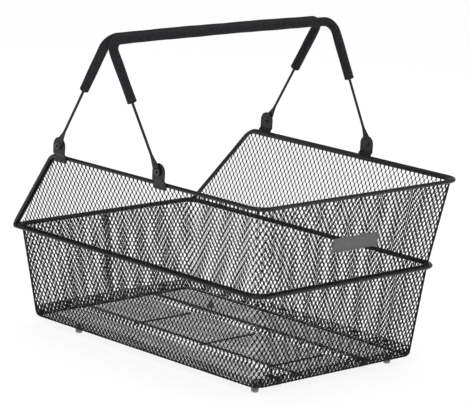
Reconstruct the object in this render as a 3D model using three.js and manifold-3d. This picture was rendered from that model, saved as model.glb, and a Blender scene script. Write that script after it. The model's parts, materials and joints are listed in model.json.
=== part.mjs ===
// A removable mesh basket for the rear carrier of a bicycle, with two folding handles.
// Millimetres. +X runs towards the rear end, -X towards the low saddle end, +Z is up.
// The origin is on the ground, under the middle of the basket's own box.
import * as THREE from "three";
import { mergeVertices } from "three/addons/utils/BufferGeometryUtils.js";
import Module from "manifold-3d";

const wasm = await Module();
wasm.setup();

// ---- Basket body: outer faces of the mesh walls ----
const hoopLength = 447; // along X, at the middle hoop
const hoopWidth = 311; // along Y, at the middle hoop
const lowerHeight = 117; // floor to middle hoop
const upperHeight = 114; // middle hoop to top rim
const frontTaper = 20; // how far the front wall leans in from the hoop to the floor
const rearTaper = 8;
const sideTaper = 14.5;
const rearFlare = 15; // how far the rear wall leans out from the hoop to the rim
const sideFlare = 18.7;
const cornerRadius = 18;
const hoopFrontCorner = 9; // the hoop wire's front corners are tighter, where the rim wire lands
const slantRun = 92; // length along X of the slanted front edge of the upper wall
const slantBend = 22; // radius where that edge turns into the top edge
const slantStep = 10; // between the rim wire's stations up the slant
const sheet = 1.6; // expanded metal, measured over its raised strands
const gap = 0.3; // between pieces that touch

// ---- Wires, bands and hems ----
const rimWire = 5; // diameter of the top rim wire
const hoopWire = 5;
const bandHeight = 6; // flat band behind the hoop wire
const bandThickness = 1.4;
const hemHeight = 5; // flat hem inside the top edge
const hemThickness = 1;

// ---- Floor ----
const railSpacing = 120; // the two raised grooves that sit on a carrier's rails
const grooveTop = 12; // width across the top of a groove
const grooveFoot = 20; // width across its foot
const grooveHeight = 5;
const crossWire = 2.5;
const crossWireSpacing = 123;
const crossWireMiddleX = 13;

// ---- Feet and carrier hooks ----
const footHeight = 11; // ground to the underside of the floor
const footRadius = 5.5;
const footFlatRadius = 3;
const footFrontInset = 68; // foot axis to the floor's front edge
const footRearInset = 25;
const footSideInset = 23;
const hookSpacing = 152;
const hookWidth = 8;
const hookThickness = 2;
const hookLength = 22;
const hookDepth = 9;
const hookLip = 7;

// ---- Handles ----
const lugSpacing = 185; // between the front and the rear pivots
const lugMiddleX = -27.5;
const lugWidth = 21.5;
const lugThickness = 2;
const lugOverlap = 6; // how far a lug reaches down over the rim wire, from the wire's middle
const lugJog = 3; // step outward from a lug's foot to its upright plate
const pivotRise = 16; // pivot above the middle of the rim wire
const rivetShank = 5.2;
const rivetBore = 3.2;
const rivetHead = 9.2;
const rivetTail = 8;
const rivetHeadThickness = 1.2;
const legLength = 171.5; // pivot to the middle of the top bar, along the leg
const handleWire = 3.4;
const frontSplay = 0; // how far each leg of the front handle leans outward over its length
const rearSplay = 10;
const handleBend = 16; // bend radius of the wire's two upper corners
const barRise = 1; // how much higher the middle of the top bar is than its ends
const bladeLength = 24; // flattened end of the wire
const bladeWidth = 10.5;
const bladeThickness = 1.6;
const gripDiameter = 12.6;
const gripStart = 90; // pivot to the lower end of the foam, along the leg

// ---- Badge plate on the rear wall ----
const badgeWidth = 80;
const badgeHeight = 18;
const badgeThickness = 1.5;
const badgeCorner = 2;
const badgeRise = 53; // middle of the badge above the middle hoop

// ---- Places that follow from those sizes ----
const floorZ = footHeight;
const hoopZ = floorZ + lowerHeight;
const rimZ = hoopZ + upperHeight;
const seamZ = hoopZ + 0.5 * bandHeight; // where the lower and upper meshes meet behind the band
const hoopStandOff = gap + bandThickness + gap + hoopWire / 2; // wall face to the middle of the hoop wire
const rimStandOff = gap + rimWire / 2; // wall face to the middle of the rim wire
const hoopFrontReach = hoopStandOff + hoopWire / 2 + (rearFlare * hoopWire) / 2 / upperHeight;
const overallLength = hoopFrontReach + hoopLength + rearFlare + rimStandOff + rimWire / 2;
const hoopFrontX = hoopFrontReach - overallLength / 2;
const hoopRearX = hoopFrontX + hoopLength;
const hoopMiddleX = (hoopFrontX + hoopRearX) / 2;
const floorFrontX = hoopFrontX + frontTaper;
const floorRearX = hoopRearX - rearTaper;
const slantFootX = hoopFrontX - rimStandOff;
const slantTopX = slantFootX + slantRun;
const rimOuterY = hoopWidth / 2 + sideFlare + rimStandOff + rimWire / 2;
const lugInnerY = rimOuterY + gap; // inner face of a lug's foot
const lugOuterY = lugInnerY + lugJog + lugThickness; // outer face of a lug's upright plate
const bladeInnerY = lugOuterY + gap;
const bladeOuterY = bladeInnerY + bladeThickness;
const legY = (bladeInnerY + bladeOuterY) / 2;
const pivotZ = rimZ + pivotRise;
const gripRadius = gripDiameter / 2;
const barHeight = legLength + barRise; // pivot to the highest point of the top bar's middle line
const handleLean = Math.asin((lugSpacing / 2 - gripRadius - gap) / barHeight);

const colours = {
  steel: { color: 0x2a292d, roughness: 0.42, metalness: 0.35 },
  mesh: { color: 0x323236, roughness: 0.5, metalness: 0.35 },
  rivet: { color: 0x4a4a4d, roughness: 0.35, metalness: 0.8 },
  foam: { color: 0x2b2a2e, roughness: 0.95, metalness: 0 },
  rubber: { color: 0x1d1d1f, roughness: 0.8, metalness: 0 },
  badge: { color: 0x7b7b7d, roughness: 0.5, metalness: 0.1 },
};
const materials = {};
for (const [name, values] of Object.entries(colours)) {
  materials[name] = new THREE.MeshStandardMaterial(values);
}

const basket = new THREE.Group();

function addPiece(name, geometry, material, parent = basket) {
  const mesh = new THREE.Mesh(geometry, materials[material]);
  mesh.name = name;
  parent.add(mesh);
  return mesh;
}

// A three.js geometry as a manifold solid, for a cut or a join.
function toSolid(geometry) {
  const bare = geometry.index ? geometry.toNonIndexed() : geometry.clone();
  bare.deleteAttribute("normal");
  bare.deleteAttribute("uv");
  const merged = mergeVertices(bare, 1e-4);
  const triVerts = new Uint32Array(merged.index.array);
  const vertProperties = merged.attributes.position.array;
  return new wasm.Manifold(new wasm.Mesh({ numProp: 3, vertProperties, triVerts }));
}

// The solid back as a three.js geometry.
function toGeometry(solid) {
  const mesh = solid.getMesh();
  const geometry = new THREE.BufferGeometry();
  geometry.setAttribute("position", new THREE.BufferAttribute(mesh.vertProperties, 3));
  geometry.setIndex(new THREE.BufferAttribute(mesh.triVerts, 1));
  geometry.computeVertexNormals();
  return geometry;
}

// A rectangle with round corners, as a closed outline in the XY plane.
function roundedRectangle(x0, x1, halfWidth, radius, frontRadius = radius) {
  const outline = new THREE.Shape();
  outline.absarc(x1 - radius, halfWidth - radius, radius, 0, Math.PI / 2);
  outline.absarc(x0 + frontRadius, halfWidth - frontRadius, frontRadius, Math.PI / 2, Math.PI);
  outline.absarc(x0 + frontRadius, frontRadius - halfWidth, frontRadius, Math.PI, 1.5 * Math.PI);
  outline.absarc(x1 - radius, radius - halfWidth, radius, 1.5 * Math.PI, 2 * Math.PI);
  outline.closePath();
  return outline;
}

// The wall's outer face at height z: the ends along X and the half width along Y.
function wallAt(z) {
  const below = Math.max(0, (hoopZ - z) / lowerHeight);
  const above = Math.max(0, (z - hoopZ) / upperHeight);
  const front = hoopFrontX + below * frontTaper - above * rearFlare;
  const rear = hoopRearX - below * rearTaper + above * rearFlare;
  const half = hoopWidth / 2 - below * sideTaper + above * sideFlare;
  return { front, rear, half };
}

// The block of space inside the wall's outer face moved outward by "offset", from z0 to z1.
function wallBlock(z0, z1, offset) {
  const outline = roundedRectangle(
    hoopFrontX - offset,
    hoopRearX + offset,
    hoopWidth / 2 + offset,
    cornerRadius + offset,
  );
  const steps = z0 < hoopZ && z1 > hoopZ ? 2 : 1;
  const options = { depth: z1 - z0, steps, bevelEnabled: false, curveSegments: 5 };
  const block = new THREE.ExtrudeGeometry(outline, options);
  const place = block.attributes.position;
  for (let i = 0; i < place.count; i++) {
    const share = place.getZ(i) / (z1 - z0);
    const middle = steps === 2 && share > 0.01 && share < 0.99;
    const z = middle ? hoopZ : z0 + place.getZ(i);
    const wall = wallAt(z);
    const x = (place.getX(i) - hoopMiddleX) * ((wall.rear - wall.front) / hoopLength);
    const y = place.getY(i) * ((2 * wall.half) / hoopWidth);
    place.setXYZ(i, x + (wall.rear + wall.front) / 2, y, z);
  }
  return toSolid(block);
}

// A strip of the wall from z0 to z1: its outer face is "offset" outside the wall's.
function wallRing(z0, z1, offset, thickness) {
  return wallBlock(z0, z1, offset).subtract(wallBlock(z0 - 1, z1 + 1, offset - thickness));
}

// ---- Lower tub, floor and middle hoop ----
const lowerWall = wallRing(floorZ, seamZ - gap / 2, 0, sheet);
addPiece("lower_mesh_wall", toGeometry(lowerWall), "mesh");

// The floor's cross-section: a flat sheet with two grooves raised along the carrier's rails.
function floorSection(reach) {
  const rise = [[-reach, 0]];
  for (const side of [-1, 1]) {
    const middle = (side * railSpacing) / 2;
    rise.push([middle - grooveFoot / 2, 0]);
    rise.push([middle - grooveTop / 2, grooveHeight]);
    rise.push([middle + grooveTop / 2, grooveHeight]);
    rise.push([middle + grooveFoot / 2, 0]);
  }
  rise.push([reach, 0]);
  const under = rise.map(([y, z]) => new THREE.Vector2(y, z));
  const over = rise.map(([y, z]) => new THREE.Vector2(y, z + sheet)).reverse();
  return new THREE.Shape([...under, ...over]);
}

// Extrude a section drawn in (Y, Z) along X, from x0 to x1.
function extrudeAlongX(section, x0, x1) {
  const options = { depth: x1 - x0, bevelEnabled: false };
  const turn = new THREE.Matrix4().makeBasis(
    new THREE.Vector3(0, 1, 0),
    new THREE.Vector3(0, 0, 1),
    new THREE.Vector3(1, 0, 0),
  );
  return new THREE.ExtrudeGeometry(section, options).applyMatrix4(turn).translate(x0, 0, 0);
}

const floorSheet = extrudeAlongX(floorSection(hoopWidth), hoopFrontX, hoopRearX).translate(0, 0, floorZ);
const floorSpace = wallBlock(floorZ - 1, floorZ + grooveHeight + 2 * sheet, -sheet - gap);
addPiece("floor_mesh", toGeometry(toSolid(floorSheet).intersect(floorSpace)), "mesh");

const crossWireLength = railSpacing - grooveFoot - 2 * gap;
for (const [index, name] of ["front", "middle", "rear"].entries()) {
  const wire = addPiece(
    `floor_cross_wire_${name}`,
    new THREE.CylinderGeometry(crossWire / 2, crossWire / 2, crossWireLength, 10),
    "steel",
  );
  wire.position.set(crossWireMiddleX + (index - 1) * crossWireSpacing, 0, floorZ - gap - crossWire / 2);
}

// A path through given points, stepped from point to point instead of by length.
class PointPath extends THREE.Curve {
  constructor(points, closed = false) {
    super();
    this.points = points;
    this.closed = closed;
  }
  pointAt(index) {
    const count = this.points.length;
    const safe = this.closed ? (index + count) % count : Math.min(Math.max(index, 0), count - 1);
    return this.points[safe];
  }
  getPointAt(share, target = new THREE.Vector3()) {
    const spans = this.closed ? this.points.length : this.points.length - 1;
    return target.copy(this.pointAt(Math.round(share * spans)));
  }
  getTangentAt(share, target = new THREE.Vector3()) {
    const spans = this.closed ? this.points.length : this.points.length - 1;
    const index = Math.round(share * spans);
    const here = this.pointAt(index);
    const before = here.clone().sub(this.pointAt(index - 1)).normalize();
    const after = this.pointAt(index + 1).clone().sub(here).normalize();
    return target.copy(before).add(after).normalize();
  }
}

// The wall's outline at height z, moved outward by "offset", as points in order.
function wallLoop(z, offset, frontRadius) {
  const wall = wallAt(z);
  const outline = roundedRectangle(
    wall.front - offset,
    wall.rear + offset,
    wall.half + offset,
    cornerRadius + offset,
    frontRadius,
  );
  const { shape } = outline.extractPoints(5);
  const points = shape.map((p) => new THREE.Vector3(p.x, p.y, z));
  return points.filter((p, i) => p.distanceTo(points[(i + 1) % points.length]) > 1e-3);
}

const hoopLoop = wallLoop(hoopZ + hoopWire / 2, hoopStandOff, hoopFrontCorner);
const hoopPath = new PointPath(hoopLoop, true);
addPiece(
  "middle_hoop_wire",
  new THREE.TubeGeometry(hoopPath, hoopLoop.length, hoopWire / 2, 8, true),
  "steel",
);
const band = wallRing(hoopZ, hoopZ + bandHeight, gap + bandThickness, bandThickness);
addPiece("middle_hoop_band", toGeometry(band), "steel");

// ---- Upper wall: cut by a slanted line at its front ----
// The side outline that is kept, in (X, Z), lowered by "drop" square to its edge.
function sideOutline(drop) {
  const slant = Math.atan2(upperHeight, slantRun);
  const footX = slantFootX + drop / Math.sin(slant);
  const topX = slantTopX + drop * Math.tan(slant / 2);
  const topZ = rimZ - drop;
  const reach = slantBend * Math.tan(slant / 2);
  const outline = new THREE.Shape();
  outline.moveTo(hoopRearX + hoopLength, floorZ);
  outline.lineTo(hoopRearX + hoopLength, topZ);
  outline.lineTo(topX + reach, topZ);
  outline.absarc(topX + reach, topZ - slantBend, slantBend, Math.PI / 2, Math.PI / 2 + slant);
  outline.lineTo(footX, hoopZ);
  outline.lineTo(footX, floorZ);
  outline.closePath();
  return outline;
}

// A prism of the side outline across the whole width.
function sidePrism(drop) {
  const options = { depth: 2 * hoopWidth, bevelEnabled: false, curveSegments: 6 };
  const prism = new THREE.ExtrudeGeometry(sideOutline(drop), options);
  return toSolid(prism.rotateX(Math.PI / 2).translate(0, hoopWidth, 0));
}

const upperRing = wallRing(seamZ + gap / 2, rimZ + 1, 0, sheet);
addPiece("upper_mesh_wall", toGeometry(upperRing.intersect(sidePrism(0))), "mesh");

const hemRing = wallRing(hoopZ + bandHeight + gap, rimZ + 1, -sheet - gap, hemThickness);
const hem = hemRing.intersect(sidePrism(-gap)).subtract(sidePrism(hemHeight));
addPiece("top_rim_hem", toGeometry(hem), "steel");

// The rim wire: from the hoop up one slant, round the top and down the other slant.
function halfWidthAt(x, z, offset, radius) {
  const wall = wallAt(z);
  const inCorner = Math.max(0, wall.front - offset + radius - x);
  const reach = Math.sqrt(Math.max(0, radius * radius - inCorner * inCorner));
  return wall.half + offset - radius + reach;
}

function rimPoints() {
  const footZ = hoopZ + hoopWire + rimWire / 2 + 2 * gap;
  const side = sideOutline(0).extractPoints(6).shape;
  const edge = side.filter((p) => p.x < slantTopX + 2 * slantBend && p.y > footZ);
  edge.sort((a, b) => a.x - b.x);
  const lowPart = [];
  for (let z = footZ; z < edge[0].y - slantStep / 2; z += slantStep) {
    const share = (z - hoopZ) / upperHeight;
    lowPart.push(new THREE.Vector2(slantFootX + slantRun * share, z));
  }
  // Near the hoop the wire stands off the wall by more and takes the hoop's tighter corner.
  const near = [...lowPart, ...edge].map((p) => {
    const drop = (rimZ - p.y) / upperHeight;
    const offset = rimStandOff + (hoopStandOff - rimStandOff) * drop;
    const radius = cornerRadius + offset + (hoopFrontCorner - cornerRadius - offset) * drop;
    return new THREE.Vector3(p.x, -halfWidthAt(p.x, p.y, offset, radius), p.y);
  });
  const top = wallLoop(rimZ, rimStandOff).filter((p) => p.x > hoopMiddleX);
  top.sort((a, b) => Math.atan2(a.y, a.x - hoopMiddleX) - Math.atan2(b.y, b.x - hoopMiddleX));
  const far = near.map((p) => new THREE.Vector3(p.x, -p.y, p.z)).reverse();
  return [...near, ...top, ...far];
}

const rimLine = rimPoints();
const wireSection = new THREE.Shape().absarc(0, 0, rimWire / 2, 0, 2 * Math.PI);
addPiece(
  "top_rim_wire",
  new THREE.ExtrudeGeometry(wireSection, {
    steps: rimLine.length - 1,
    curveSegments: 4,
    bevelEnabled: false,
    extrudePath: new PointPath(rimLine),
  }),
  "steel",
);

// ---- Feet and carrier hooks under the floor ----
const footTop = floorZ - gap;
const footRound = footRadius - footFlatRadius;
const footCurve = new THREE.Path();
footCurve.moveTo(0, 0);
footCurve.lineTo(footFlatRadius, 0);
footCurve.absarc(footFlatRadius, footRound, footRound, -Math.PI / 2, 0);
footCurve.lineTo(footRadius, footTop);
footCurve.lineTo(0, footTop);
const footProfile = footCurve.getPoints(5);

const feet = [
  ["front_left", floorFrontX + footFrontInset, 1],
  ["front_right", floorFrontX + footFrontInset, -1],
  ["rear_left", floorRearX - footRearInset, 1],
  ["rear_right", floorRearX - footRearInset, -1],
];
for (const [name, x, side] of feet) {
  const foot = addPiece(`foot_${name}`, new THREE.LatheGeometry(footProfile, 16), "rubber");
  foot.rotation.x = Math.PI / 2;
  foot.position.set(x, side * (hoopWidth / 2 - sideTaper - footSideInset), 0);
}

// A hook is a strip bent down and forward, drawn in (X, Z) from its rear edge.
const hookOutline = new THREE.Shape();
hookOutline.moveTo(0, 0);
hookOutline.lineTo(-hookLength, 0);
hookOutline.lineTo(-hookLength, -hookThickness);
hookOutline.lineTo(-hookThickness, -hookThickness);
hookOutline.lineTo(-hookThickness, hookThickness - hookDepth);
hookOutline.lineTo(-hookLip, hookThickness - hookDepth);
hookOutline.lineTo(-hookLip, -hookDepth);
hookOutline.lineTo(0, -hookDepth);
hookOutline.closePath();
for (const [name, side] of [["left", 1], ["right", -1]]) {
  const options = { depth: hookWidth, bevelEnabled: false };
  const strip = new THREE.ExtrudeGeometry(hookOutline, options).rotateX(Math.PI / 2);
  const hook = addPiece(`carrier_hook_${name}`, strip, "steel");
  hook.position.set(floorRearX - footRearInset, (side * hookSpacing) / 2 + hookWidth / 2, floorZ - gap);
}

// ---- Lugs and hollow rivets ----
// The lug's outline seen from the side, round over the pivot, and its stepped section in (Y, Z).
function lugGeometry() {
  const half = lugWidth / 2;
  const footZ = -pivotRise - lugOverlap;
  const outline = new THREE.Shape();
  outline.moveTo(-half, footZ);
  outline.lineTo(half, footZ);
  outline.absarc(0, 0, half, 0, Math.PI);
  outline.closePath();
  outline.holes.push(new THREE.Path().absarc(0, 0, rivetShank / 2 + gap, 0, 2 * Math.PI));
  const depth = 2 * (lugJog + lugThickness);
  const options = { depth, bevelEnabled: false, curveSegments: 10 };
  const face = new THREE.ExtrudeGeometry(outline, options).rotateX(Math.PI / 2).translate(0, depth, 0);
  const jogZ = rimWire / 2 - pivotRise;
  const inner = [[0, footZ], [0, jogZ], [lugJog, jogZ + lugJog], [lugJog, half]];
  const points = inner.map(([y, z]) => new THREE.Vector2(y, z));
  const outer = inner.map(([y, z]) => new THREE.Vector2(y + lugThickness, z)).reverse();
  outer.forEach((p) => points.push(new THREE.Vector2(p.x, p.y)));
  const section = extrudeAlongX(new THREE.Shape(points), -half, half);
  return toGeometry(toSolid(face).intersect(toSolid(section)));
}

// A hollow rivet turned round the Y axis: its tail is inside the lug and its head outside the blade.
function rivetGeometry() {
  const inner = lugInnerY + lugJog - gap;
  const outer = bladeOuterY + gap;
  const outline = [
    [rivetBore / 2, inner - rivetHeadThickness],
    [rivetTail / 2, inner - rivetHeadThickness],
    [rivetTail / 2, inner],
    [rivetShank / 2, inner],
    [rivetShank / 2, outer],
    [rivetHead / 2, outer],
    [rivetHead / 2 - rivetHeadThickness / 2, outer + rivetHeadThickness],
    [rivetBore / 2, outer + rivetHeadThickness],
    [rivetBore / 2, inner - rivetHeadThickness],
  ];
  return new THREE.LatheGeometry(outline.map(([r, y]) => new THREE.Vector2(r, y)), 16);
}

const pivots = [["front", -1], ["rear", 1]];
const sides = [["left", 1], ["right", -1]];
for (const [end, along] of pivots) {
  for (const [side, across] of sides) {
    const x = lugMiddleX + (along * lugSpacing) / 2;
    const lug = addPiece(`handle_lug_${end}_${side}`, lugGeometry(), "steel");
    lug.position.set(x, across * lugInnerY, pivotZ);
    lug.rotation.z = across > 0 ? 0 : Math.PI;
    const rivet = addPiece(`handle_rivet_${end}_${side}`, rivetGeometry(), "rivet");
    rivet.position.set(x, 0, pivotZ);
    rivet.rotation.z = across > 0 ? 0 : Math.PI;
  }
}

// ---- Handles ----
// Half of the wire's middle line in the handle's own plane, from "start" up one leg to the
// middle of the top bar: the pivots are at z = 0 and the bar's ends at z = legLength.
function halfHandle(start, splay) {
  const points = [];
  const lean = Math.atan2(splay, legLength);
  const turn = Math.PI / 2 + lean;
  const reach = handleBend * Math.tan(turn / 2);
  const cornerY = legY + splay;
  const tangentY = cornerY - reach * Math.sin(lean);
  const tangentZ = legLength - reach * Math.cos(lean);
  const centreY = cornerY - reach;
  const steps = 6;
  for (const share of [0, 0.5]) {
    const z = start + (tangentZ - start) * share;
    points.push(new THREE.Vector3(0, legY + (splay * z) / legLength, z));
  }
  points.push(new THREE.Vector3(0, tangentY, tangentZ));
  for (let i = 1; i <= steps; i++) {
    const angle = -lean + (turn * i) / steps;
    const y = centreY + handleBend * Math.cos(angle);
    points.push(new THREE.Vector3(0, y, legLength - handleBend + handleBend * Math.sin(angle)));
  }
  for (const share of [0.25, 0.5, 0.75]) {
    points.push(new THREE.Vector3(0, centreY * (1 - share), legLength + barRise * (1 - (1 - share) ** 2)));
  }
  return points;
}

// The whole line, from the left leg over the bar to the right leg.
function handlePoints(start, splay) {
  const left = halfHandle(start, splay);
  const right = left.map((p) => new THREE.Vector3(0, -p.y, p.z)).reverse();
  return [...left, new THREE.Vector3(0, 0, barHeight), ...right];
}

function sweep(section, points, curveSegments) {
  return new THREE.ExtrudeGeometry(section, {
    steps: points.length - 1,
    curveSegments,
    bevelEnabled: false,
    extrudePath: new PointPath(points),
  });
}

// The flattened end of the wire: round at the pivot, narrowing up the leg, with the rivet's hole.
function bladeGeometry() {
  const half = bladeWidth / 2;
  const outline = new THREE.Shape();
  outline.absarc(0, 0, half, Math.PI, 2 * Math.PI);
  outline.lineTo(half, half);
  outline.lineTo(handleWire / 2, bladeLength);
  outline.lineTo(-handleWire / 2, bladeLength);
  outline.lineTo(-half, half);
  outline.closePath();
  outline.holes.push(new THREE.Path().absarc(0, 0, rivetShank / 2 + gap, 0, 2 * Math.PI));
  const options = { depth: bladeThickness, bevelEnabled: false, curveSegments: 10 };
  return new THREE.ExtrudeGeometry(outline, options).rotateX(Math.PI / 2);
}

function handleWireGeometry(splay) {
  const section = new THREE.Shape().absarc(0, 0, handleWire / 2, 0, 2 * Math.PI);
  const wireStart = bladeLength - 0.5 * bladeWidth;
  let solid = toSolid(sweep(section, handlePoints(wireStart, splay), 4));
  for (const outerY of [bladeOuterY, -bladeInnerY]) {
    solid = solid.add(toSolid(bladeGeometry().translate(0, outerY, 0)));
  }
  return toGeometry(solid);
}

function gripGeometry(splay) {
  const section = new THREE.Shape().absarc(0, 0, gripRadius, 0, 2 * Math.PI);
  section.holes.push(new THREE.Path().absarc(0, 0, handleWire / 2 + gap, 0, 2 * Math.PI));
  return sweep(section, handlePoints(gripStart, splay), 6);
}

for (const [end, along, splay] of [["front", -1, frontSplay], ["rear", 1, rearSplay]]) {
  const handle = new THREE.Group();
  handle.position.set(lugMiddleX + (along * lugSpacing) / 2, 0, pivotZ);
  handle.rotation.y = -along * handleLean;
  addPiece(`handle_wire_${end}`, handleWireGeometry(splay), "steel", handle);
  addPiece(`foam_grip_${end}`, gripGeometry(splay), "foam", handle);
  basket.add(handle);
}

// ---- Badge plate ----
const badgeOutline = roundedRectangle(-badgeHeight / 2, badgeHeight / 2, badgeWidth / 2, badgeCorner);
const badgeOptions = { depth: badgeThickness, bevelEnabled: false, curveSegments: 3 };
const badge = addPiece("rear_badge_plate", new THREE.ExtrudeGeometry(badgeOutline, badgeOptions), "badge");
const wallLean = Math.atan2(rearFlare, upperHeight);
badge.rotation.y = Math.PI / 2 + wallLean;
badge.position.set(wallAt(hoopZ + badgeRise).rear + gap / Math.cos(wallLean), 0, hoopZ + badgeRise);

export default basket;
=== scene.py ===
# A removable mesh basket for the rear carrier of a bicycle: expanded steel walls and floor, round
# wire rims, pressed lugs, and two folding handles with foam sleeves.
# Metres. +X runs to the rear end with its badge plate, -X to the low saddle end, +Z is up.
import json
import math

import bpy
import numpy as np
from mathutils import Matrix, Vector


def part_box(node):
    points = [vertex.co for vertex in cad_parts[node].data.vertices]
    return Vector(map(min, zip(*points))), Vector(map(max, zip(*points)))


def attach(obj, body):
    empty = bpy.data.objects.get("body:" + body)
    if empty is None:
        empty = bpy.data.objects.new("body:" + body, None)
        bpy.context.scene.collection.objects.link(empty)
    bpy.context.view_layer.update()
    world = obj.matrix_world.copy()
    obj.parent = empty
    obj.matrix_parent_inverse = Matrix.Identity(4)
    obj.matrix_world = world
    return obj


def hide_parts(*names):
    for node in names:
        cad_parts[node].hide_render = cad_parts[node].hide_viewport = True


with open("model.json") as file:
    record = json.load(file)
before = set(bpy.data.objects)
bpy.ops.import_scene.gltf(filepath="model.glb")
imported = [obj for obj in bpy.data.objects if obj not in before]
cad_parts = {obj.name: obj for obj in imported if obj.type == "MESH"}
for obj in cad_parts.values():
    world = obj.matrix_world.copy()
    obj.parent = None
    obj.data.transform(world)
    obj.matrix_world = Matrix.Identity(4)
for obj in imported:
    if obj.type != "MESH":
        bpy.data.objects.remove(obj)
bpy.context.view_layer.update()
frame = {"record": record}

MM = 0.001
scene = bpy.context.scene

# ---- Camera and studio ----
# A long lens looks down a little on the rear right corner, and the camera is rolled slightly.
# The ground is a plain pale sweep, lit by three large soft panels and a bright even sky.
azimuth = math.radians(45.48)
elevation = math.radians(12.12)
roll = math.radians(3.11)
aim = Vector((-0.0041, -0.0026, 0.1849))
distance = 3.394
level_right = Vector((math.cos(azimuth), math.sin(azimuth), 0))
backward = Vector((
    math.sin(azimuth) * math.cos(elevation),
    -math.cos(azimuth) * math.cos(elevation),
    math.sin(elevation),
))
level_up = backward.cross(level_right)
camera_right = level_right * math.cos(roll) + level_up * math.sin(roll)
camera_up = level_up * math.cos(roll) - level_right * math.sin(roll)
camera_data = bpy.data.cameras.new("camera")
camera_data.sensor_width = 36
camera_data.lens = 203.4
camera_data.shift_x = 0.0235
camera = bpy.data.objects.new("camera", camera_data)
turn = Matrix((camera_right, camera_up, backward)).transposed().to_4x4()
camera.matrix_world = Matrix.Translation(aim + backward * distance) @ turn
scene.collection.objects.link(camera)
scene.camera = camera
scene.view_settings.view_transform = "Standard"

world = bpy.data.worlds.new("sky")
world.use_nodes = True
sky = world.node_tree.nodes["Background"]
sky.inputs["Color"].default_value = (1, 1, 1, 1)
sky.inputs["Strength"].default_value = 0.4
scene.world = world


def soft_panel(name, place, size, power):
    """A square area light of that size at that place, turned to face the basket."""
    data = bpy.data.lights.new(name, "AREA")
    data.size = size
    data.energy = power
    light = bpy.data.objects.new(name, data)
    light.location = place
    light.rotation_euler = (aim - Vector(place)).to_track_quat("-Z", "Y").to_euler()
    scene.collection.objects.link(light)


soft_panel("key_panel", (1.2, -2.2, 2.2), 1.6, 22)
soft_panel("side_panel", (2.4, 1.4, 1.2), 1.2, 9)
soft_panel("top_panel", (-0.6, 0.4, 2.6), 1.8, 16)

ground_data = bpy.data.meshes.new("ground")
ground_data.from_pydata([(-9, -9, 0), (9, -9, 0), (9, 9, 0), (-9, 9, 0)], [], [(0, 1, 2, 3)])
ground = bpy.data.objects.new("ground", ground_data)
ground_paint = bpy.data.materials.new("ground_paint")
ground_paint.use_nodes = True
ground_shader = ground_paint.node_tree.nodes["Principled BSDF"]
ground_shader.inputs["Base Color"].default_value = (0.3, 0.3, 0.3, 1)
ground_shader.inputs["Roughness"].default_value = 0.9
ground_shader.inputs["Emission Color"].default_value = (1, 1, 1, 1)
ground_shader.inputs["Emission Strength"].default_value = 0.82
ground_data.materials.append(ground_paint)
scene.collection.objects.link(ground)


# ---- Lower tub of expanded steel ----
# One sheet of expanded steel, slit and stretched into upright diamonds, forms the sides of the tub.
# Its strands zigzag upwards and meet at short bonds; the lower edge rolls under into the floor.
bond_pitch = 7.0 * MM  # from diamond to diamond along the wall
bond_rise = 10.5 * MM  # from diamond to diamond up the wall
bond_length = 3.0 * MM
strand_width = 1.38 * MM
strand_thickness = 0.86 * MM
strand_tilt = math.radians(55)  # each strand is twisted out of the wall by the stretching
bond_overlap = 0.25 * MM
corner_radius = 18 * MM
bottom_roll = 6 * MM
wall_skin = 1.6 * MM
slot_gap = 0.3 * MM
hoop_stand_off = 2.0 * MM + 5 * MM  # wall face to the outside of the hoop wire

hoop_low, hoop_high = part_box("middle_hoop_wire")
floor_low, floor_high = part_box("floor_mesh")
tub_low, tub_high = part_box("lower_mesh_wall")
rim_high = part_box("top_rim_wire")[1]
band_low, band_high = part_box("middle_hoop_band")
upper_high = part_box("upper_mesh_wall")[1]

wall_levels = [floor_low.z, band_low.z, upper_high.z]
wall_fronts = [floor_low.x - wall_skin - slot_gap, hoop_low.x + hoop_stand_off]
wall_rears = [floor_high.x + wall_skin + slot_gap, hoop_high.x - hoop_stand_off, upper_high.x]
wall_fronts.append(wall_fronts[1] - (wall_rears[2] - wall_rears[1]))
wall_halves = [floor_high.y + wall_skin + slot_gap, hoop_high.y - hoop_stand_off, upper_high.y]


def rounded_loop(share, front, rear, half, front_radius, rear_radius):
    """Points and outward normals of a rectangle with round corners, by the share of its length
    from the start of the rear left corner: the corner's centre and its angle are both linear
    between the ends of the arcs, so each straight side comes out straight."""
    radii = np.array([rear_radius, front_radius, front_radius, rear_radius])
    ends = np.array([rear, front, front, rear]) + radii * [-1, 1, 1, -1]
    sides = (half - radii) * [1, 1, -1, -1]
    knots = np.repeat(np.arange(4), 2)
    knots = np.append(knots, 0)
    angles = np.array([0, 1, 1, 2, 2, 3, 3, 4, 4]) * np.pi / 2
    centre_x = ends[knots]
    centre_y = sides[knots]
    radius = radii[knots]
    bends = radius[:-1] * np.diff(angles)
    runs = np.hypot(np.diff(centre_x), np.diff(centre_y))
    lengths = np.append(0, np.cumsum(bends + runs))
    at = np.mod(share, 1.0) * lengths[-1]
    angle = np.interp(at, lengths, angles)
    reach = np.interp(at, lengths, radius)
    normal = np.stack([np.cos(angle), np.sin(angle)], axis=-1)
    centre = np.stack([np.interp(at, lengths, centre_x), np.interp(at, lengths, centre_y)], axis=-1)
    return centre + normal * reach[..., None], normal


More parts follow.
